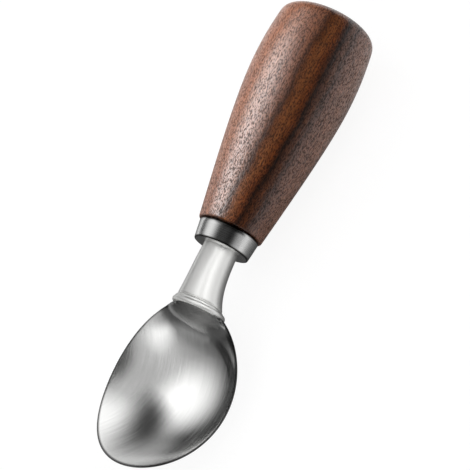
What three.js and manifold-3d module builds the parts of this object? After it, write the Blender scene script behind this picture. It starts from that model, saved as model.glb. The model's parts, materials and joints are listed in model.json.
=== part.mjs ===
// Ice cream scoop with a turned walnut handle. Millimetres, +Z up, lying with the bowl's hollow upwards.
// Each piece is drawn on the tool's own axis: +X runs from the butt of the handle to the tip of the bowl,
// and x = 0 is the bowl end of the ferrule. At the end the tool is laid down on its bowl and its grip.
import * as THREE from "three";
import { mergeVertices } from "three/addons/utils/BufferGeometryUtils.js";
import Module from "manifold-3d";

// Handle
const handleLength = 85.3; // butt to the shoulder behind the ferrule
const gripRadius = 19.25; // the thickest ring
const gripFromButt = 25.8;
const handleEndRadius = 11.9; // at the ferrule
const handleEdgeRound = 0.7;
const buttFlatRadius = 5.8; // the sanded flat in the middle of the butt
const buttDomeHeight = 1.1;
const buttCornerRound = 4.6;
const buttRadius = 18; // where the corner's round ends

// Ferrule
const ferruleLength = 7;
const ferruleWoodRadius = 11; // outside, at the handle
const ferruleNeckRadius = 10.2; // outside, at the neck
const ferruleEdgeBreak = 0.45;
const ferruleWall = 1.2; // at the neck end
const ferruleEndWall = 1.6;

// Neck
const neckLength = 21.6; // ferrule to the seat on the bowl
const neckRadius = 6.3; // at the ferrule
const neckTaper = 0.8; // even growth of the radius towards the bowl
const neckFlare = 2.2; // further growth, close to the bowl
const beadWidth = 1.5; // the ring turned at the neck's bowl end
const beadRise = 0.35;
const beadGrooveDepth = 0.3;

// Tang
const tangRadius = 4;
const tangInNeck = 11;
const tangInHandle = 48;
const tangGrooveDepth = 0.5;
const tangGrooveWidth = 2;
const tangGrooveCount = 5;

// Bowl
const bowlHalfWidth = 23.9;
const centreFromNeck = 28.2; // seat of the neck to the widest place
const tipSpan = 31.2; // widest place to the tip
const dishDepth = 6.2; // of the hollow below its edge, rounded as a dish
const edgeDip = 10.1; // the edge's lowest place, below the tool's axis
const edgeRiseToNeck = 6.35; // from its lowest place, seen from the side
const edgeRiseToTip = 9.6;
const edgeThickness = 1.2;
const edgeRound = 0.35;
const floorThickness = 2.4;
const rootStep = 0.1; // the bowl's root stands proud of the neck
const noseRun = 10; // inside, from the neck's seat to the floor
const heelRun = 30; // outside, from the neck's seat to the bowl's back

// Clearances
const seatGap = 0.3; // between faces that rest on each other
const slideGap = 0.1; // between round pieces that slide into each other
const bondThickness = 0.9; // adhesive around the tang

// Related sizes
const shoulderX = -ferruleLength - seatGap;
const buttX = shoulderX - handleLength;
const spigotEndX = -ferruleEndWall - seatGap;
const spigotRadius = ferruleNeckRadius - ferruleWall - slideGap;
const tangEndX = spigotEndX - tangInHandle;
const boreRadius = tangRadius + bondThickness + 2 * slideGap;
const boreEndX = tangEndX - bondThickness - 2 * seatGap;
const neckEndRadius = neckRadius + neckTaper + neckFlare;
const rootRadius = neckEndRadius + rootStep;
const bowlCentreX = neckLength + centreFromNeck;
const rootHeight = edgeHeight(neckLength) - edgeThickness / 2;
const rootHalfWidth = Math.sqrt(rootRadius ** 2 - (edgeThickness / 2) ** 2);
const rootAngle = Math.asin(rootHalfWidth / bowlHalfWidth);
const neckSpan = centreFromNeck / Math.cos(rootAngle);

const roundSegments = 48;
const tangSegments = 20;
const bowlSegments = 72;
const rootSegments = 10; // of the bowl's segments, those that face the neck

// A curve from one point to another that leaves and arrives in given directions.
function sweep(from, leave, to, arrive, steps) {
  const curve = new THREE.CubicBezierCurve(from, from.clone().add(leave), to.clone().sub(arrive), to);
  return curve.getPoints(steps);
}

function point(radius, x) {
  return new THREE.Vector2(radius, x);
}

// A turned piece: its profile is a list of (radius, x) points, and it turns about the tool's axis.
function turned(profile, segments) {
  const apart = profile.filter((p, i) => i === 0 || p.distanceTo(profile[i - 1]) > 1e-6);
  return new THREE.LatheGeometry(apart, segments).rotateZ(-Math.PI / 2);
}

function handleGeometry() {
  const domeEnd = point(buttRadius - buttCornerRound, buttX + buttDomeHeight);
  const cornerEnd = point(buttRadius, domeEnd.y + buttCornerRound);
  const grip = point(gripRadius, buttX + gripFromButt);
  const taperEnd = point(handleEndRadius, shoulderX - handleEdgeRound);
  const domeRun = domeEnd.x - buttFlatRadius;
  const toGrip = grip.y - cornerEnd.y;
  const toTaperEnd = taperEnd.y - grip.y;
  const cornerPull = 0.55 * buttCornerRound;
  const barrelRise = 0.12;
  const taperFall = 0.155;
  return turned(
    [
      point(0, buttX),
      ...sweep(point(buttFlatRadius, buttX), point(domeRun / 3, 0), domeEnd,
        point(domeRun / 3, (2 / 3) * buttDomeHeight), 3),
      ...sweep(domeEnd, point(cornerPull, (cornerPull * 2 * buttDomeHeight) / domeRun), cornerEnd,
        point(barrelRise * cornerPull, cornerPull), 5),
      ...sweep(cornerEnd, point(barrelRise * 0.5 * toGrip, 0.5 * toGrip), grip, point(0, 0.35 * toGrip), 5),
      ...sweep(grip, point(0, 0.24 * toTaperEnd), taperEnd,
        point(-taperFall * 0.27 * toTaperEnd, 0.27 * toTaperEnd), 9),
      ...sweep(taperEnd, point(0, 0.55 * handleEdgeRound),
        point(handleEndRadius - handleEdgeRound, shoulderX), point(-0.55 * handleEdgeRound, 0), 3),
      point(spigotRadius, shoulderX),
      point(spigotRadius, spigotEndX),
      point(boreRadius, spigotEndX),
      point(boreRadius, boreEndX),
      point(0, boreEndX),
    ],
    roundSegments,
  );
}

function ferruleGeometry() {
  const holeRadius = neckWidthAt(0) + slideGap;
  const insideRadius = spigotRadius + slideGap;
  const start = point(insideRadius, -ferruleLength);
  return turned(
    [
      start,
      point(ferruleWoodRadius - ferruleEdgeBreak / 2, -ferruleLength),
      point(ferruleWoodRadius, ferruleEdgeBreak / 2 - ferruleLength),
      point(ferruleNeckRadius, -ferruleEdgeBreak),
      point(ferruleNeckRadius - 0.3 * ferruleEdgeBreak, -0.3 * ferruleEdgeBreak),
      point(ferruleNeckRadius - ferruleEdgeBreak, 0),
      point(holeRadius, 0),
      point(holeRadius, -ferruleEndWall),
      point(insideRadius, -ferruleEndWall),
      start.clone(),
    ],
    roundSegments,
  );
}

function neckWidthAt(x) {
  const share = Math.max(x, 0) / neckLength;
  return neckRadius + neckTaper * share + neckFlare * share ** 4;
}

// The neck is turned as a trumpet, its axis is let down to the bowl's root, and the tang's hole is drilled.
function neckGeometry(solids) {
  const endX = neckLength - seatGap;
  const grooveX = endX - beadWidth - beadGrooveDepth;
  const plainEndX = grooveX - beadGrooveDepth;
  const profile = [point(0, -ferruleEndWall), point(neckWidthAt(0), -ferruleEndWall)];
  for (let step = 0; step <= 12; step++) {
    const x = (plainEndX * step) / 12;
    profile.push(point(neckWidthAt(x), x));
  }
  profile.push(point(neckWidthAt(grooveX) - beadGrooveDepth, grooveX));
  for (let step = 0; step <= 6; step++) {
    const turn = (Math.PI * step) / 6;
    const x = endX - (beadWidth / 2) * (1 + Math.cos(turn));
    profile.push(point(neckWidthAt(x) + beadRise * Math.sin(turn), x));
  }
  profile.push(point(0, endX));
  const neck = turned(profile, roundSegments);
  const places = neck.attributes.position;
  for (let i = 0; i < places.count; i++) {
    const share = Math.max(places.getX(i), 0) / neckLength;
    places.setZ(i, places.getZ(i) + rootHeight * share ** 3);
  }
  const holeRadius = tangRadius + slideGap;
  const holeEndX = tangInNeck + slideGap;
  const openX = -ferruleEndWall - 1;
  const drill = turned(
    [point(0, openX), point(holeRadius, openX), point(holeRadius, holeEndX), point(0, holeEndX)],
    tangSegments,
  );
  return solids.cut(neck, drill);
}

// The tang's outside in the handle, from the spigot's end to its own end, grown by a clearance.
function tangOutline(clearance) {
  const radius = tangRadius + clearance;
  const pitch = tangInHandle / (tangGrooveCount + 1);
  const outline = [];
  for (let groove = 1; groove <= tangGrooveCount; groove++) {
    const middle = spigotEndX - groove * pitch;
    const half = tangGrooveWidth / 2;
    outline.push(point(radius, middle + half));
    outline.push(point(radius - tangGrooveDepth, middle + half - tangGrooveDepth));
    outline.push(point(radius - tangGrooveDepth, middle - half + tangGrooveDepth));
    outline.push(point(radius, middle - half));
  }
  outline.push(point(radius, tangEndX - clearance));
  return outline;
}

function tangGeometry() {
  const front = [point(0, tangInNeck), point(tangRadius, tangInNeck)];
  const profile = [...front, ...tangOutline(0), point(0, tangEndX)];
  return turned(profile.reverse(), tangSegments);
}

// The cured adhesive is a cup around the tang, keyed into its grooves.
function bondGeometry() {
  const mouthX = spigotEndX;
  const outside = boreRadius - slideGap;
  const endX = boreEndX + seatGap;
  const inside = tangOutline(slideGap);
  return turned(
    [
      point(0, endX),
      point(outside, endX),
      point(outside, mouthX),
      point(tangRadius + slideGap, mouthX),
      ...inside,
      point(0, tangEndX - slideGap),
    ],
    tangSegments,
  );
}

// The bowl's edge seen from the side: lowest at the widest place, and swept up to the tip and the neck.
function edgeHeight(x) {
  const run = x - bowlCentreX;
  const highest = run > 0 ? edgeRiseToTip : edgeRiseToNeck;
  const span = run > 0 ? tipSpan : centreFromNeck;
  return highest * (run / span) ** 2 - edgeDip;
}

// A place on the bowl seen from above. Share 0 is the widest place's middle and share 1 the edge;
// angle 0 points to the tip and PI to the neck, whose seat cuts the ellipse off square.
function bowlPlace(share, angle) {
  const along = Math.cos(angle);
  const span = along > 0 ? tipSpan : neckSpan;
  const reach = along < 0 ? Math.min(1, centreFromNeck / (-along * neckSpan)) : 1;
  const spread = share * reach;
  return { x: bowlCentreX + spread * span * along, y: spread * bowlHalfWidth * Math.sin(angle), spread };
}

// How far a dish of the given depth lies below its edge.
function dish(spread, depth) {
  return depth * (1 - spread ** 2);
}

function insideHeight(place) {
  return edgeHeight(place.x) - dish(place.spread, dishDepth);
}

function outsideHeight(place) {
  const backDepth = dishDepth + floorThickness - edgeThickness;
  return edgeHeight(place.x) - edgeThickness - dish(place.spread, backDepth);
}

// The bowl's half width in front of the neck.
function halfWidthAt(x) {
  const share = Math.max(0, bowlCentreX - x) / neckSpan;
  return bowlHalfWidth * Math.sqrt(1 - share ** 2);
}

// How far the root swells the bowl: round at the neck's seat, then flatter and as wide as the bowl is
// there, so that it ends in the walls at both sides without a corner, and gone at the end of its run.
function rootSwell(place, heightAtSeat, run) {
  const gone = THREE.MathUtils.clamp((place.x - neckLength) / run, 0, 1);
  const across = Math.min(1, Math.abs(place.y) / halfWidthAt(place.x));
  const low = heightAtSeat(0) * (1 - across ** 2) ** 2;
  const flattened = THREE.MathUtils.smoothstep(gone, 0, 0.6);
  return THREE.MathUtils.lerp(heightAtSeat(across), low, flattened) * (1 - gone) ** 3;
}

// A place on the neck's seat, at a share of its half width.
function seatPlace(across) {
  const y = across * rootHalfWidth;
  return { x: neckLength, y, spread: Math.hypot(centreFromNeck / neckSpan, y / bowlHalfWidth) };
}

function rootArch(across) {
  return Math.sqrt(rootRadius ** 2 - (across * rootHalfWidth) ** 2);
}

function noseHeight(across) {
  return rootHeight + rootArch(across) - insideHeight(seatPlace(across));
}

function heelHeight(across) {
  return outsideHeight(seatPlace(across)) - rootHeight + rootArch(across);
}

// The bowl starts as a turned disc, whose rings are then pressed to the inside, the edge and the back.
function bowlGeometry() {
  const inside = [0, 0.2, 0.38, 0.53, 0.65, 0.75, 0.83, 0.89, 0.935, 0.97, 1];
  const outside = [1, 0.95, 0.88, 0.79, 0.68, 0.55, 0.38, 0.2, 0];
  const profile = [
    ...outside.map((share) => point(share, -1)).reverse(),
    point(1.1, 0),
    ...inside.map((share) => point(share, 1)).reverse(),
  ];
  const disc = new THREE.LatheGeometry(profile, bowlSegments);
  const places = disc.attributes.position;
  for (let i = 0; i < places.count; i++) {
    const radius = Math.hypot(places.getX(i), places.getZ(i));
    const side = Math.round(places.getY(i));
    const spot = bowlSpot(radius, bowlAngle(Math.atan2(places.getX(i), places.getZ(i))), side);
    places.setXYZ(i, spot.x, spot.y, spot.z);
  }
  return disc;
}

// Even segments of the disc are shared out so that one falls on each corner of the neck's seat.
function bowlAngle(even) {
  const fromNeck = Math.PI - Math.abs(even);
  const evenRoot = (Math.PI * rootSegments) / bowlSegments;
  const turn =
    fromNeck < evenRoot
      ? (fromNeck * rootAngle) / evenRoot
      : rootAngle + ((fromNeck - evenRoot) * (Math.PI - rootAngle)) / (Math.PI - evenRoot);
  return even < 0 ? Math.PI + turn : Math.PI - turn;
}

function bowlSpot(ring, angle, side) {
  const corner = THREE.MathUtils.clamp(2 * (Math.abs(angle - Math.PI) / rootAngle - 1), 0, 1);
  const share = side === 0 ? 1 : ring * (1 - (corner * edgeRound) / tipSpan);
  const place = bowlPlace(share, angle);
  let z = edgeHeight(place.x) - edgeThickness / 2;
  if (side > 0) z = insideHeight(place) + rootSwell(place, noseHeight, noseRun);
  if (side < 0) z = outsideHeight(place) - rootSwell(place, heelHeight, heelRun);
  return { x: place.x, y: place.y, z };
}

// Cutting one solid out of another
async function solidTools() {
  const wasm = await Module();
  wasm.setup();
  const solid = (geometry) => {
    const plain = geometry.clone().deleteAttribute("normal").deleteAttribute("uv");
    const merged = mergeVertices(plain, 1e-4);
    return new wasm.Manifold(
      new wasm.Mesh({
        numProp: 3,
        vertProperties: merged.attributes.position.array,
        triVerts: new Uint32Array(merged.index.array),
      }),
    );
  };
  const cut = (from, tool) => {
    const mesh = solid(from).subtract(solid(tool)).getMesh();
    const geometry = new THREE.BufferGeometry();
    geometry.setAttribute("position", new THREE.BufferAttribute(mesh.vertProperties, 3));
    geometry.setIndex(new THREE.BufferAttribute(mesh.triVerts, 1));
    return geometry;
  };
  return { cut };
}

// The lowest place of a piece when the tool is tipped about the Y axis.
function lowest(geometry, tip) {
  const places = geometry.attributes.position;
  let low = Infinity;
  for (let i = 0; i < places.count; i++) {
    low = Math.min(low, places.getZ(i) * Math.cos(tip) - places.getX(i) * Math.sin(tip));
  }
  return low;
}

// The angle at which bowl and handle touch the table together.
function lyingAngle(bowl, handle) {
  let bowlDown = 0.5;
  let handleDown = -0.5;
  for (let step = 0; step < 40; step++) {
    const tip = (bowlDown + handleDown) / 2;
    if (lowest(bowl, tip) < lowest(handle, tip)) bowlDown = tip;
    else handleDown = tip;
  }
  return (bowlDown + handleDown) / 2;
}

const solids = await solidTools();
const pieces = {
  handle: { geometry: handleGeometry(), color: 0x6b4630, roughness: 0.5, metalness: 0 },
  ferrule: { geometry: ferruleGeometry(), color: 0xb9b9bb, roughness: 0.3, metalness: 1 },
  neck: { geometry: neckGeometry(solids), color: 0xcfcfd0, roughness: 0.25, metalness: 1 },
  tang: { geometry: tangGeometry(), color: 0x9c9da0, roughness: 0.4, metalness: 1 },
  tang_bond: { geometry: bondGeometry(), color: 0xb9a37a, roughness: 0.4, metalness: 0 },
  scoop_bowl: { geometry: bowlGeometry(), color: 0xbdbdbf, roughness: 0.3, metalness: 1 },
};

// The pieces stay on the tool's axis. The tool lies on the table, its box's bottom centre at the origin.
const tool = new THREE.Group();
for (const [name, { geometry, color, roughness, metalness }] of Object.entries(pieces)) {
  const mesh = new THREE.Mesh(geometry, new THREE.MeshStandardMaterial({ color, roughness, metalness }));
  mesh.name = name;
  tool.add(mesh);
}
tool.rotation.y = lyingAngle(pieces.scoop_bowl.geometry, pieces.handle.geometry);
const box = new THREE.Box3().setFromObject(tool, true);
const middle = box.getCenter(new THREE.Vector3());
tool.position.set(-middle.x, -middle.y, -box.min.z);

const scoop = new THREE.Group();
scoop.add(tool);

export default scoop;
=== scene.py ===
"""Looks of the ice cream scoop: turned walnut handle, brushed ferrule, satin neck and brushed bowl."""

import json
import math

import bpy
from mathutils import Matrix, Vector


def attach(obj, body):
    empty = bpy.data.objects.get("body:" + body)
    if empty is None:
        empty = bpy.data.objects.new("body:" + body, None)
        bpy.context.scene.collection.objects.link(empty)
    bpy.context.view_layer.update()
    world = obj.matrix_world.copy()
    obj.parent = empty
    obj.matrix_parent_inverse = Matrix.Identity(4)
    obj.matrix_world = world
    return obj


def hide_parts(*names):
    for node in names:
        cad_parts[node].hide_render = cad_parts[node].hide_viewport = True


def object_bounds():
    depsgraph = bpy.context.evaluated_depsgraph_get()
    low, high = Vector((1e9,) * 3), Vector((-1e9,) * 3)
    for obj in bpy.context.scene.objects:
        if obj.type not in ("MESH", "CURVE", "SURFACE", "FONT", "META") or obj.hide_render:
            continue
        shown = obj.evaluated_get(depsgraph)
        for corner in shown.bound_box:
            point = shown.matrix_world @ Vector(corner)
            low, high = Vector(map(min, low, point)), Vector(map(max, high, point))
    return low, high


MM = 0.001

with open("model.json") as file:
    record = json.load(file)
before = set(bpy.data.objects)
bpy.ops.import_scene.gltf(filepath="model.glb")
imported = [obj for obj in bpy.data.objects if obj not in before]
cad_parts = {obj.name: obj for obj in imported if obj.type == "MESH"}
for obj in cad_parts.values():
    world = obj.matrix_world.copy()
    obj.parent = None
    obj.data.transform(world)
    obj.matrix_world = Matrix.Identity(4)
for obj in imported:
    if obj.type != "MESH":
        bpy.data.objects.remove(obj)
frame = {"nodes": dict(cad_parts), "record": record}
cad_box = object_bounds()

# Sizes of the tool in mm. Places along it are counted from the ferrule's face towards the tip.
BUTT_TO_FACE = 92.6

FERRULE_MIDDLE = -3.5
FERRULE_LINE_STARTS = 2.75
FERRULE_LINE_FULL = 3.15
FERRULE_FLAT_ENDS = 9.5
FERRULE_WALL_BEGINS = 9.7

BEAD_ALONG = 21.4
BEAD_BELOW = 4.2
BEAD_RADIUS = 8.75
BEAD_HALF_THICK = 1.1

# The bowl's edge is half an oval towards the tip and half another towards the neck. It lifts to both ends.
BOWL_ALONG = 49.8
BOWL_BELOW = 14.0
HALF_WIDTH = 23.9
TIP_REACH = 31.2
TIP_LIFT = 9.6
NECK_REACH = 30.7
ROOT_REACH = 28.2
ROOT_LIFT = 6.35
EDGE_LOWEST = -10.1
HOLLOW_DEPTH = 6.2

# The root begins past the neck's seat and runs out into the hollow, where the plain dish takes over.
SEAT_ENDS = 24.0
DISH_BEGINS = 30.5
DISH_FULL = 33.5
ROOT_RUNS_OUT = 34.0

# A faint ridge follows an oval round one side of the root.
RIDGE_HALF_LENGTH = 23.7
RIDGE_HALF_WIDTH = 24.0
RIDGE_HEIGHT = 0.3
RIDGE_SPREAD = 0.11
RIDGE_SIDE_STARTS = -4.0
RIDGE_SIDE_FULL = 4.0
RIDGE_FULL_TO = 33.0
RIDGE_ENDS = 42.0

# The tool's own axis runs from the butt of the handle to the tip of the bowl.
butt = frame["record"]["mounts"][0]
AXIS = -Vector(butt["axis"]).normalized()
ACROSS = Vector((0, 1, 0))
RISE = AXIS.cross(ACROSS)
FERRULE_FACE = Vector(butt["pos_m"]) + AXIS * BUTT_TO_FACE * MM
BOWL_MIDDLE = FERRULE_FACE + AXIS * BOWL_ALONG * MM - RISE * BOWL_BELOW * MM
TILT = math.atan2(AXIS.z, AXIS.x)


def linear(hexed):
    """An sRGB hex colour as the linear colour that the nodes take."""
    parts = [int(hexed[i : i + 2], 16) / 255 for i in (1, 3, 5)]
    return [c / 12.92 if c <= 0.04045 else ((c + 0.055) / 1.055) ** 2.4 for c in parts] + [1.0]


def add(tree, kind, settings=(), links=()):
    """Adds one node, gives it its settings, and links outputs to its inputs."""
    made = tree.nodes.new("ShaderNode" + kind)
    for name, value in dict(settings).items():
        if isinstance(name, str) and hasattr(made, name):
            setattr(made, name, value)
        else:
            made.inputs[name].default_value = value
    for name, output in dict(links).items():
        tree.links.new(output, made.inputs[name])
    return made


def ramp(made, stops):
    """Sets a colour ramp's stops, given as place and hex colour."""
    band = made.color_ramp
    while len(band.elements) < len(stops):
        band.elements.new(0.5)
    for element, (place, hexed) in zip(band.elements, stops):
        element.position = place
        element.color = linear(hexed)
    return made


def material(name):
    """A new material with no nodes yet, and its node tree."""
    made = bpy.data.materials.new(name)
    made.use_nodes = True
    made.node_tree.nodes.clear()
    return made, made.node_tree


def surface(tree, shader):
    """Makes a shader the surface of its material."""
    add(tree, "OutputMaterial", links={"Surface": shader})


def along_tool(tree):
    """Coordinates in metres from the ferrule's face: X along the tool, Y across it, Z out of the hollow."""
    place = add(tree, "TexCoord").outputs["Object"]
    shifted = add(tree, "Mapping", {"vector_type": "TEXTURE", "Location": FERRULE_FACE,
                                    "Rotation": (0, -TILT, 0)}, {"Vector": place})
    return shifted.outputs["Vector"]


def out_on_oval(tree, place, half_length, half_width):
    """How far out a place lies on an oval round the bowl's middle: 0 in the middle and 1 on the oval."""
    moved = add(tree, "VectorMath", {"operation": "SUBTRACT", 1: (BOWL_ALONG * MM, 0, 0)}, {0: place})
    shares = (1 / (half_length * MM), 1 / (half_width * MM), 0)
    scaled = add(tree, "VectorMath", {"operation": "MULTIPLY", 1: shares}, {0: moved.outputs[0]})
    return add(tree, "VectorMath", {"operation": "LENGTH"}, {0: scaled.outputs[0]}).outputs["Value"]


def walnut():
    """Walnut, turned, sanded and oiled: brown heartwood in dark and orange layers that run along the handle,
    with short open pores that break its satin sheen into fine flecks."""
    made, tree = material("walnut_turned_and_oiled")
    place = along_tool(tree)
    # Growth layers are sheets that run a few degrees off the handle's axis and wander by up to 5 mm.
    lean = (math.radians(30), 0, math.radians(4))
    turned = add(tree, "Mapping", {"vector_type": "POINT", "Rotation": lean}, {"Vector": place})
    slow = add(tree, "Mapping", {"Scale": (24, 45, 45)}, {"Vector": turned.outputs[0]})
    wander = add(tree, "TexNoise", {"Scale": 1.0, "Detail": 3.0, "Roughness": 0.55},
                 {"Vector": slow.outputs[0]})
    split = add(tree, "SeparateXYZ", links={0: turned.outputs[0]})
    bend = add(tree, "Math", {"operation": "MULTIPLY_ADD", 1: 10.0 * MM, 2: -5.0 * MM},
               {0: wander.outputs["Fac"]})
    layers = add(tree, "Math", {"operation": "ADD"}, {0: split.outputs["Y"], 1: bend.outputs[0]})
    across = add(tree, "MapRange", {"From Min": -20 * MM, "From Max": 20 * MM}, {"Value": layers.outputs[0]})
    figure = ramp(add(tree, "ValToRGB", links={0: across.outputs[0]}), [
        (0.00, "#8f5330"), (0.10, "#8b5639"), (0.20, "#86553e"), (0.29, "#7f5039"), (0.335, "#4d2a18"),
        (0.37, "#72401f"), (0.42, "#8f552f"), (0.47, "#824522"), (0.515, "#30170c"), (0.56, "#7d4626"),
        (0.60, "#60341d"), (0.67, "#93593c"), (0.80, "#a87259"), (0.90, "#8f5c46"), (1.00, "#5a3526")])
    # Fibres are 0.4 mm wide and 6 mm long.
    long = add(tree, "Mapping", {"Scale": (160, 2600, 2600)}, {"Vector": place})
    fibres = add(tree, "TexNoise", {"Scale": 1.0, "Detail": 2.0, "Roughness": 0.6},
                 {"Vector": long.outputs[0]})
    # Pores are short open vessels, 0.1 to 0.2 mm wide in walnut, drawn about 0.4 mm wide so that they show.
    short = add(tree, "Mapping", {"Scale": (1050, 2600, 2600)}, {"Vector": place})
    vessels = add(tree, "TexNoise", {"Scale": 1.0, "Detail": 1.0, "Roughness": 0.6},
                  {"Vector": short.outputs[0]})
    pore = add(tree, "MapRange", {"From Min": 0.43, "From Max": 0.51, "To Min": 1.0, "To Max": 0.0},
               {"Value": vessels.outputs["Fac"]})
    streaked = add(tree, "MapRange", {"From Min": 0.3, "From Max": 0.7, "To Min": 0.55, "To Max": 1.45},
                   {"Value": fibres.outputs["Fac"]})
    fibred = add(tree, "Mix", {"data_type": "RGBA", "blend_type": "MULTIPLY", 0: 1.0},
                 {6: figure.outputs[0], 7: streaked.outputs[0]})
    opened = add(tree, "MapRange", {"To Min": 1.25, "To Max": 0.4}, {"Value": pore.outputs[0]})
    pored = add(tree, "Mix", {"data_type": "RGBA", "blend_type": "MULTIPLY", 0: 1.0},
                {6: fibred.outputs[2], 7: opened.outputs[0]})
    relief = add(tree, "Math", {"operation": "MULTIPLY_ADD", 1: 0.35},
                 {0: fibres.outputs["Fac"], 2: vessels.outputs["Fac"]})
    bump = add(tree, "Bump", {"Strength": 0.9, "Distance": 0.12 * MM}, {"Height": relief.outputs[0]})
    # Oil lies as a film on the wood and is missing from the open pores.
    gloss = add(tree, "MapRange", {"To Min": 0.32, "To Max": 0.6}, {"Value": pore.outputs[0]})
    film = add(tree, "MapRange", {"To Min": 1.0, "To Max": 0.1}, {"Value": pore.outputs[0]})
    oiled = add(tree, "BsdfPrincipled", {"IOR": 1.5, "Coat Roughness": 0.3, "Coat IOR": 1.5},
                {"Base Color": pored.outputs[2], "Roughness": gloss.outputs[0], "Normal": bump.outputs[0],
                 "Coat Normal": bump.outputs[0], "Coat Weight": film.outputs[0]})
    surface(tree, oiled.outputs[0])
    return made


def bowl_steel():
    """Stainless steel, pressed and brushed in long arcs: soft reflections with fine hairlines across them."""
    made, tree = material("stainless_steel_brushed_in_arcs")
    place = along_tool(tree)
    # The brush ran in arcs round a place beside the bowl. Its lines, about 0.1 mm apart, are drawn 0.24 mm
    # apart so that they show.
    arcs_middle = (49 * MM, -55 * MM, 0)
    lines_per_metre = 4200.0
    breaks_per_radian = 3.5
    moved = add(tree, "VectorMath", {"operation": "SUBTRACT", 1: arcs_middle}, {0: place})
    beside = add(tree, "VectorMath", {"operation": "MULTIPLY", 1: (1, 1, 0)}, {0: moved.outputs[0]})
    split = add(tree, "SeparateXYZ", links={0: beside.outputs[0]})
    radius = add(tree, "VectorMath", {"operation": "LENGTH"}, {0: beside.outputs[0]})
    turn = add(tree, "Math", {"operation": "ARCTAN2"}, {0: split.outputs["X"], 1: split.outputs["Y"]})
    across_lines = add(tree, "Math", {"operation": "MULTIPLY", 1: lines_per_metre},
                       {0: radius.outputs["Value"]})
    along_lines = add(tree, "Math", {"operation": "MULTIPLY", 1: breaks_per_radian}, {0: turn.outputs[0]})
    lane = add(tree, "CombineXYZ", links={0: across_lines.outputs[0], 1: along_lines.outputs[0]})
    hairlines = add(tree, "TexNoise", {"Scale": 1.0, "Detail": 1.0, "Roughness": 0.5},
                    {"Vector": lane.outputs[0]})
    gloss = add(tree, "MapRange", {"From Min": 0.3, "From Max": 0.7, "To Min": 0.15, "To Max": 0.20},
                {"Value": hairlines.outputs["Fac"]})
    lines = add(tree, "MapRange", {"From Min": 0.3, "From Max": 0.7, "To Min": 0.93, "To Max": 1.06},
                {"Value": hairlines.outputs["Fac"]})
    bump = add(tree, "Bump", {"Strength": 0.1, "Distance": 0.012 * MM}, {"Height": hairlines.outputs["Fac"]})
    # Painted shade: the root is painted darker than the brushed hollow, the same on both sides.
    # It ends along the ridge's oval.
    at = add(tree, "SeparateXYZ", links={0: place})
    neckward = add(tree, "MapRange", {"interpolation_type": "SMOOTHSTEP", "From Min": 27 * MM,
                                      "From Max": 37 * MM, "To Min": 1.0, "To Max": 0.0},
                   {"Value": at.outputs["X"]})
    reach = add(tree, "MapRange", {"interpolation_type": "SMOOTHSTEP", "From Min": 0.86, "From Max": 1.06},
                {"Value": out_on_oval(tree, place, RIDGE_HALF_LENGTH, RIDGE_HALF_WIDTH)})
    root_shade_mask = add(tree, "Math", {"operation": "MULTIPLY"}, {0: reach.outputs[0], 1: neckward.outputs[0]})
    root = add(tree, "MapRange", {"To Min": 1.0, "To Max": 0.34}, {"Value": root_shade_mask.outputs[0]})
    # Painted shade: a dark line about 0.8 mm wide is painted along the ground edge.
    edge = add(tree, "MapRange", {"interpolation_type": "SMOOTHSTEP", "From Min": 0.955, "From Max": 0.982,
                                  "To Min": 1.0, "To Max": 0.12},
               {"Value": out_on_oval(tree, place, TIP_REACH, HALF_WIDTH)})
    # The painted shades of the root and of the edge are multiplied together here.
    painted_shades = add(tree, "Math", {"operation": "MULTIPLY"}, {0: root.outputs[0], 1: edge.outputs[0]})
    tone = add(tree, "Math", {"operation": "MULTIPLY"}, {0: lines.outputs[0], 1: painted_shades.outputs[0]})
    shade = add(tree, "Mix", {"data_type": "RGBA", "blend_type": "MULTIPLY", 0: 1.0, 6: linear("#cdcdcc")},
                {7: tone.outputs[0]})
    steel = add(tree, "BsdfPrincipled", {"Metallic": 1.0},
                {"Base Color": shade.outputs[2], "Roughness": gloss.outputs[0], "Normal": bump.outputs[0]})
    surface(tree, steel.outputs[0])
    return made


def neck_steel():
    """Stainless steel, turned and blasted fine: pale and soft, with no clear reflections."""
    made, tree = material("stainless_steel_satin_blasted")
    place = along_tool(tree)
    # Blasted pits are finer than 0.1 mm and are drawn 0.2 mm apart so that they show.
    grit = add(tree, "TexNoise", {"Scale": 5000.0, "Detail": 1.0}, {"Vector": place})
    bump = add(tree, "Bump", {"Strength": 0.15, "Distance": 0.01 * MM}, {"Height": grit.outputs["Fac"]})
    gloss = add(tree, "MapRange", {"To Min": 0.36, "To Max": 0.46}, {"Value": grit.outputs["Fac"]})
    steel = add(tree, "BsdfPrincipled", {"Base Color": linear("#ececea"), "Metallic": 1.0},
                {"Roughness": gloss.outputs[0], "Normal": bump.outputs[0]})
    surface(tree, steel.outputs[0])
    return made


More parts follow.
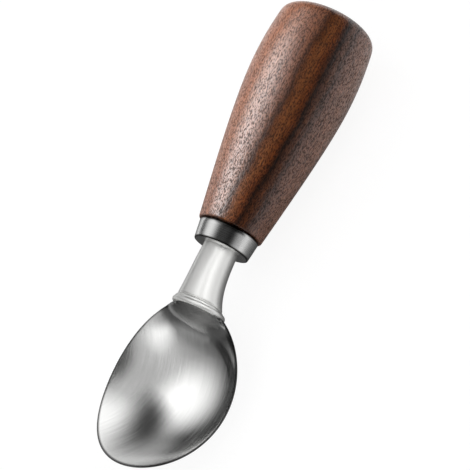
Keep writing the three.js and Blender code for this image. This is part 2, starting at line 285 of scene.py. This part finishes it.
def ferrule_steel():
    """Stainless steel tube, brushed round in the lathe: crisp bands of reflection with fine rings on them."""
    made, tree = material("stainless_steel_brushed_round")
    place = along_tool(tree)
    # The brushed rings are 0.17 mm apart.
    fine = add(tree, "Mapping", {"Scale": (6000, 20, 20)}, {"Vector": place})
    rings = add(tree, "TexNoise", {"Scale": 1.0, "Detail": 2.0}, {"Vector": fine.outputs[0]})
    bump = add(tree, "Bump", {"Strength": 0.1, "Distance": 0.006 * MM}, {"Height": rings.outputs["Fac"]})
    gloss = add(tree, "MapRange", {"To Min": 0.24, "To Max": 0.32}, {"Value": rings.outputs["Fac"]})
    # Painted shade: a dark line is painted round the tube's side at either end, by its turned edges, the same
    # all round.
    at = add(tree, "SeparateXYZ", links={0: place})
    along = add(tree, "Math", {"operation": "SUBTRACT", 1: FERRULE_MIDDLE * MM}, {0: at.outputs["X"]})
    from_middle = add(tree, "Math", {"operation": "ABSOLUTE"}, {0: along.outputs[0]})
    sideways = add(tree, "VectorMath", {"operation": "MULTIPLY", 1: (0, 1, 1)}, {0: place})
    out = add(tree, "VectorMath", {"operation": "LENGTH"}, {0: sideways.outputs[0]})
    rim = add(tree, "MapRange", {"From Min": FERRULE_LINE_STARTS * MM, "From Max": FERRULE_LINE_FULL * MM},
              {"Value": from_middle.outputs[0]})
    tube = add(tree, "MapRange", {"From Min": FERRULE_FLAT_ENDS * MM, "From Max": FERRULE_WALL_BEGINS * MM},
               {"Value": out.outputs["Value"]})
    dark = add(tree, "Math", {"operation": "MULTIPLY"}, {0: rim.outputs[0], 1: tube.outputs[0]})
    shade = add(tree, "Mix", {"data_type": "RGBA", 6: linear("#d2d2d1"), 7: linear("#3c3b3a")},
                {0: dark.outputs[0]})
    steel = add(tree, "BsdfPrincipled", {"Metallic": 1.0},
                {"Base Color": shade.outputs[2], "Roughness": gloss.outputs[0], "Normal": bump.outputs[0]})
    surface(tree, steel.outputs[0])
    return made


def tang_steel():
    """Mild steel rod, as turned: dull grey with the tool's fine feed lines round it."""
    made, tree = material("mild_steel_as_turned")
    place = along_tool(tree)
    # The feed lines are 0.6 mm apart.
    feed = add(tree, "TexWave", {"wave_type": "BANDS", "bands_direction": "X", "Scale": 500.0,
                                 "Distortion": 0.6}, {"Vector": place})
    bump = add(tree, "Bump", {"Strength": 0.3, "Distance": 0.02 * MM}, {"Height": feed.outputs["Fac"]})
    gloss = add(tree, "MapRange", {"To Min": 0.35, "To Max": 0.5}, {"Value": feed.outputs["Fac"]})
    steel = add(tree, "BsdfPrincipled", {"Base Color": linear("#9a9b9e"), "Metallic": 1.0},
                {"Roughness": gloss.outputs[0], "Normal": bump.outputs[0]})
    surface(tree, steel.outputs[0])
    return made


def adhesive():
    """Epoxy adhesive, cured amber: glossy, with cloudy patches 3 mm wide."""
    made, tree = material("epoxy_cured_amber")
    place = along_tool(tree)
    cloud = add(tree, "TexNoise", {"Scale": 300.0, "Detail": 2.0}, {"Vector": place})
    tint = ramp(add(tree, "ValToRGB", links={0: cloud.outputs["Fac"]}), [(0.3, "#b98f4c"), (0.7, "#d2ad6a")])
    gloss = add(tree, "MapRange", {"To Min": 0.15, "To Max": 0.3}, {"Value": cloud.outputs["Fac"]})
    cured = add(tree, "BsdfPrincipled", {"IOR": 1.55},
                {"Base Color": tint.outputs[0], "Roughness": gloss.outputs[0]})
    surface(tree, cured.outputs[0])
    return made


def tool_place(co):
    """A place in the tool's own directions, in mm: along from the ferrule's face, across, and upwards."""
    return [(co - FERRULE_FACE).dot(side) / MM for side in (AXIS, ACROSS, RISE)]


def bowl_spread(x, y):
    """Where a place lies on the bowl seen from above: 0 at its middle and 1 on its edge."""
    reach = TIP_REACH if x > BOWL_ALONG else NECK_REACH
    return math.hypot((x - BOWL_ALONG) / reach, y / HALF_WIDTH)


def inside_edge(co):
    """Whether a place on the bowl is off its edge and its seat at the neck."""
    edge_begins = 0.93
    x, y, _ = tool_place(co)
    return x > SEAT_ENDS and bowl_spread(x, y) < edge_begins


def below_root(co):
    """Whether a place on the bowl is where its root runs out."""
    return inside_edge(co) and tool_place(co)[0] < ROOT_RUNS_OUT


def hollow_height(x, y):
    """The bowl's hollow, in mm from the tool's axis: a dish below an edge that dips between neck and tip."""
    lift, reach = (TIP_LIFT, TIP_REACH) if x > BOWL_ALONG else (ROOT_LIFT, ROOT_REACH)
    edge = lift * ((x - BOWL_ALONG) / reach) ** 2 + EDGE_LOWEST
    return edge - HOLLOW_DEPTH * (1 - bowl_spread(x, y) ** 2)


def eased(share):
    """A share held between 0 and 1, with an easy start and end."""
    held = min(1, max(0, share))
    return held * held * (3 - 2 * held)


def root_ridge(x, y):
    """The height of the ridge round one side of the root, in mm, as read from a light arc on that side."""
    off = abs(math.hypot((x - BOWL_ALONG) / RIDGE_HALF_LENGTH, y / RIDGE_HALF_WIDTH) - 1)
    sideways = (y - RIDGE_SIDE_STARTS) / (RIDGE_SIDE_FULL - RIDGE_SIDE_STARTS)
    neckward = (RIDGE_ENDS - x) / (RIDGE_ENDS - RIDGE_FULL_TO)
    return RIDGE_HEIGHT * eased(1 - off / RIDGE_SPREAD) * eased(sideways) * eased(neckward)


def ease_hollow(piece):
    """Lays the subdivided hollow back on its dish, which the facets round its middle had pulled out of true,
    and raises the ridge on it."""
    facing_up = 0.2
    edge_starts = 0.98
    edge_fade = 0.02
    furthest = 0.8
    inside = [vertex for vertex in piece.data.vertices if vertex.normal.dot(RISE) > facing_up]
    for vertex in inside:
        x, y, z = tool_place(vertex.co)
        off = hollow_height(x, y) - z
        past_root = (x - DISH_BEGINS) / (DISH_FULL - DISH_BEGINS)
        from_edge = (edge_starts - bowl_spread(x, y)) / edge_fade
        share = min(1, max(0, past_root), max(0, from_edge))
        if abs(off) < furthest and share > 0:
            vertex.co += RISE * (off * share * MM)
        vertex.co += RISE * (root_ridge(x, y) * MM)


def dressed(node_name, piece_name, finish, sharp, relaxed=None):
    """A smooth piece in a CAD node's place: its mesh is merged, edges sharper than an angle in degrees are
    held, and it is subdivided. Edges in a relaxed place are not held."""
    bpy.ops.object.select_all(action="DESELECT")
    piece = bpy.data.objects.new(piece_name, frame["nodes"][node_name].data.copy())
    bpy.context.scene.collection.objects.link(piece)
    bpy.context.view_layer.objects.active = piece
    piece.select_set(True)
    piece.data.materials.clear()
    piece.data.materials.append(finish)
    bpy.ops.object.mode_set(mode="EDIT")
    bpy.ops.mesh.select_mode(type="EDGE")
    bpy.ops.mesh.select_all(action="SELECT")
    bpy.ops.mesh.remove_doubles(threshold=0.02 * MM)
    bpy.ops.mesh.tris_convert_to_quads()
    bpy.ops.mesh.select_all(action="DESELECT")
    bpy.ops.mesh.edges_select_sharp(sharpness=math.radians(sharp))
    if relaxed:
        bpy.ops.object.mode_set(mode="OBJECT")
        for edge in piece.data.edges:
            ends = [piece.data.vertices[v].co for v in edge.vertices]
            edge.select = edge.select and not all(relaxed(co) for co in ends)
        bpy.ops.object.mode_set(mode="EDIT")
    bpy.ops.transform.edge_crease(value=1.0)
    bpy.ops.object.mode_set(mode="OBJECT")
    smooth = piece.modifiers.new("smooth", "SUBSURF")
    smooth.levels = smooth.render_levels = 2
    bpy.ops.object.modifier_apply(modifier=smooth.name)
    if relaxed:
        # Facets are left where the root runs out, so they are smoothed there.
        plain = piece.vertex_groups.new(name="plain")
        plain.add([v.index for v in piece.data.vertices if below_root(v.co)], 1.0, "REPLACE")
        relax = piece.modifiers.new("relax", "SMOOTH")
        relax.vertex_group = plain.name
        relax.factor = 0.5
        relax.iterations = 40
        bpy.ops.object.modifier_apply(modifier=relax.name)
    bpy.ops.object.shade_smooth_by_angle(angle=math.radians(35))
    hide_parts(node_name)
    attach(piece, "root")
    return piece


def fuller_bead(piece):
    """Joins a ring to the neck where its bead is, which makes the bead fuller."""
    bpy.ops.object.select_all(action="DESELECT")
    bpy.ops.mesh.primitive_torus_add(major_segments=96, minor_segments=24, major_radius=BEAD_RADIUS * MM,
                                     minor_radius=BEAD_HALF_THICK * MM)
    bead = bpy.context.object
    bead.matrix_world = (Matrix.Translation(FERRULE_FACE + AXIS * BEAD_ALONG * MM - RISE * BEAD_BELOW * MM)
                         @ AXIS.to_track_quat("Z", "Y").to_matrix().to_4x4())
    bpy.ops.object.transform_apply(location=True, rotation=True, scale=True)
    bpy.ops.object.shade_smooth()
    bead.data.materials.append(piece.data.materials[0])
    piece.select_set(True)
    bpy.context.view_layer.objects.active = piece
    bpy.ops.object.join()


handle = dressed("handle", "walnut_handle", walnut(), 40)
ferrule = dressed("ferrule", "steel_ferrule", ferrule_steel(), 30)
neck = dressed("neck", "steel_neck", neck_steel(), 50)
fuller_bead(neck)
bowl = dressed("scoop_bowl", "steel_bowl", bowl_steel(), 75, inside_edge)
ease_hollow(bowl)
for name, finish in (("tang", tang_steel()), ("tang_bond", adhesive())):
    frame["nodes"][name].data.materials.clear()
    frame["nodes"][name].data.materials.append(finish)


# Studio: a light tent that darkens towards the table, soft lights and dark flags on stands, a dark sheet
# under the scoop as painted shadow, and a white table
TENT_RADIUS = 3.0
TABLE_SIZE = 12
TABLE_GAP = 0.2 * MM


def stand(gear, finish, lit=(), spared=()):
    """Sets up studio gear: unseen by the camera, lighting only the lit pieces or all but the spared ones."""
    gear.data.materials.append(finish)
    gear.visible_camera = False
    gear.visible_shadow = False
    if lit or spared:
        linked = bpy.data.collections.new("linked_to_" + gear.name)
        for piece in lit or spared:
            linked.objects.link(piece)
        for held in linked.collection_objects:
            held.light_linking.link_state = "INCLUDE" if lit else "EXCLUDE"
        gear.light_linking.receiver_collection = linked


def panel(name, place, strength, lit=(), spared=(), flag=False, even=0.15):
    """A soft panel, even up to a share of its radius and fading out from there to its rim. A light adds to
    what is behind it, and a flag hides it."""
    bpy.ops.object.select_all(action="DESELECT")
    bpy.ops.mesh.primitive_plane_add(size=2)
    gear = bpy.context.object
    gear.name = name
    gear.matrix_world = place
    made, tree = material(name)
    on_panel = add(tree, "TexCoord").outputs["Object"]
    from_middle = add(tree, "VectorMath", {"operation": "LENGTH"}, {0: on_panel})
    fade = add(tree, "MapRange", {"interpolation_type": "SMOOTHSTEP", "From Min": even,
                                  "To Min": 1.0 if flag else strength, "To Max": 0.0},
               {"Value": from_middle.outputs["Value"]})
    clear = add(tree, "BsdfTransparent")
    if flag:
        cloth = add(tree, "Emission", {"Strength": strength})
        both = add(tree, "MixShader", links={0: fade.outputs[0], 1: clear.outputs[0], 2: cloth.outputs[0]})
    else:
        glow = add(tree, "Emission", links={"Strength": fade.outputs[0]})
        both = add(tree, "AddShader", links={0: clear.outputs[0], 1: glow.outputs[0]})
    surface(tree, both.outputs[0])
    stand(gear, made, lit, spared)
    return gear


def card(name, azimuth, elevation, width, height, strength, distance=1.0, **how):
    """A panel that faces the bowl's middle, from a direction in degrees. Its sizes are in metres."""
    a, e = math.radians(azimuth), math.radians(elevation)
    out = Vector((math.cos(e) * math.cos(a), math.cos(e) * math.sin(a), math.sin(e)))
    place = (Matrix.Translation(BOWL_MIDDLE + out * distance)
             @ out.to_track_quat("Z", "Y").to_matrix().to_4x4()
             @ Matrix.Diagonal((width / 2, height / 2, 1, 1)))
    panel(name, place, strength, **how)


def tent(name, stops, spared):
    """A round tent of lit cloth over everything, whose light goes by height, from the table to its top."""
    bpy.ops.object.select_all(action="DESELECT")
    bpy.ops.mesh.primitive_uv_sphere_add(segments=48, ring_count=24, radius=TENT_RADIUS, location=BOWL_MIDDLE)
    made, tree = material(name)
    at = add(tree, "SeparateXYZ", links={0: add(tree, "TexCoord").outputs["Object"]})
    height = add(tree, "MapRange", {"From Min": 0.0, "From Max": TENT_RADIUS}, {"Value": at.outputs["Z"]})
    glow = ramp(add(tree, "ValToRGB", links={0: height.outputs[0]}), stops)
    surface(tree, add(tree, "Emission", links={"Color": glow.outputs[0]}).outputs[0])
    bpy.context.object.name = name
    stand(bpy.context.object, made, spared=spared)


tent("light_tent", [(0.00, "#5f5f5f"), (0.26, "#383838"), (0.50, "#909090"), (0.71, "#bcbcbc"),
                    (0.87, "#e7e7e7"), (0.97, "#e3e3e3"), (1.00, "#d8d8d8")], [ferrule, handle])
card("light_left", -109, 47, 2.02, 1.44, 1.25, spared=[neck, handle])
card("light_handle", -104, 49, 1.5, 1.3, 8.5, lit=[handle])
card("light_handle_right", 118, 1, 1.6, 0.5, 1.3, lit=[handle])
card("light_tip", -2, 31, 0.68, 1.8, 1.4, spared=[neck, handle])
card("light_butt", 178, 12, 2.6, 2.5, 1.5, spared=[neck, ferrule, handle])
card("light_neck", 105, 32, 2.4, 2.2, 0.8, lit=[neck])
card("light_neck_left", -97, 12, 2.4, 1.6, 0.55, lit=[neck])
card("light_neck_top", 90, 74, 1.8, 1.5, 0.95, lit=[neck])
card("light_neck_tip", 0, 35, 1.6, 1.0, 0.7, lit=[neck])
card("light_ferrule_right", 82, 10, 1.2, 1.2, 0.7, lit=[ferrule])
card("light_ferrule_top", 50, 70, 1.2, 1.0, 0.07, lit=[ferrule])
card("flag_butt", -152, 37, 0.69, 2.08, 0.04, distance=0.9, flag=True)
card("flag_right", 88, 69, 1.4, 0.37, 0.05, distance=0.9, flag=True)
card("flag_low", -85, 0, 2.2, 0.66, 0.04, distance=0.8, flag=True, even=0.6)
card("light_throat", -26, 15, 0.9, 0.7, 0.28, spared=[neck, ferrule, handle])
# Painted shadow: a dark sheet lies on the table under the scoop and stands in for the shade there. Only
# mirrors see it.
flat = Matrix.Translation((0, -10 * MM, 0.1 * MM)) @ Matrix.Diagonal((0.17, 0.10, 1, 1))
painted_shadow_sheet = panel("painted_shadow_under_scoop", flat, 0.08, flag=True)
painted_shadow_sheet.visible_diffuse = False

bpy.ops.object.select_all(action="DESELECT")
bpy.ops.mesh.primitive_plane_add(size=TABLE_SIZE, location=(0, 0, cad_box[0].z - TABLE_GAP))
table = bpy.context.object
table.name = "table"
white, tree = material("table_white")
# The camera and mirrors see a near white table with a soft shadow. Its light is that of pale card.
paths = add(tree, "LightPath")
through = add(tree, "Math", {"operation": "MAXIMUM"},
              {0: paths.outputs["Is Glossy Ray"], 1: paths.outputs["Is Transmission Ray"]})
seen = add(tree, "Math", {"operation": "MAXIMUM"}, {0: paths.outputs["Is Camera Ray"], 1: through.outputs[0]})
matt = add(tree, "BsdfDiffuse", {"Color": linear("#e6e6e6")})
shaded = add(tree, "BsdfDiffuse", {"Color": linear("#707070")})
lit = add(tree, "Emission", {"Strength": 0.90})
both = add(tree, "AddShader", links={0: shaded.outputs[0], 1: lit.outputs[0]})
shown = add(tree, "MixShader", links={0: seen.outputs[0], 1: matt.outputs[0], 2: both.outputs[0]})
surface(tree, shown.outputs[0])
table.data.materials.append(white)

scene = bpy.context.scene
world = bpy.data.worlds.new("studio")
world.use_nodes = True
world.node_tree.nodes.clear()
air = add(world.node_tree, "Background", {"Color": (1, 1, 1, 1), "Strength": 1.0})
add(world.node_tree, "OutputWorld", links={"Surface": air.outputs[0]})
scene.world = world
scene.view_settings.view_transform = "Standard"

# Camera: the photograph's angle. The picture's middle lies to the right of the ferrule's face and above it.
PICTURE = 470
POINT = 0.343 * MM
POINTS_RIGHT = 14.3
POINTS_UP = 14.56
DISTANCE = 650 * MM
SENSOR = 36
LEAN = math.radians(12.5)
ROLL = math.radians(30)
TURN = math.radians(25.86)

towards = AXIS * math.sin(LEAN) + (ACROSS * math.sin(ROLL) + RISE * math.cos(ROLL)) * math.cos(LEAN)
tipward = (AXIS - towards * AXIS.dot(towards)).normalized()
side = towards.cross(tipward)
right = side * math.cos(TURN) - tipward * math.sin(TURN)
below = side * math.sin(TURN) + tipward * math.cos(TURN)
eye = FERRULE_FACE + towards * DISTANCE
aim = FERRULE_FACE + (right * POINTS_RIGHT - below * POINTS_UP) * POINT
back = (eye - aim).normalized()
right = (right - back * right.dot(back)).normalized()
lens = bpy.data.cameras.new("camera")
lens.sensor_width = SENSOR
lens.lens = SENSOR * DISTANCE / (POINT * PICTURE)
lens.clip_start = 10 * MM
camera = bpy.data.objects.new("camera", lens)
camera.matrix_world = Matrix.Translation(eye) @ Matrix((right, back.cross(right), back)).transposed().to_4x4()
scene.collection.objects.link(camera)
scene.camera = camera
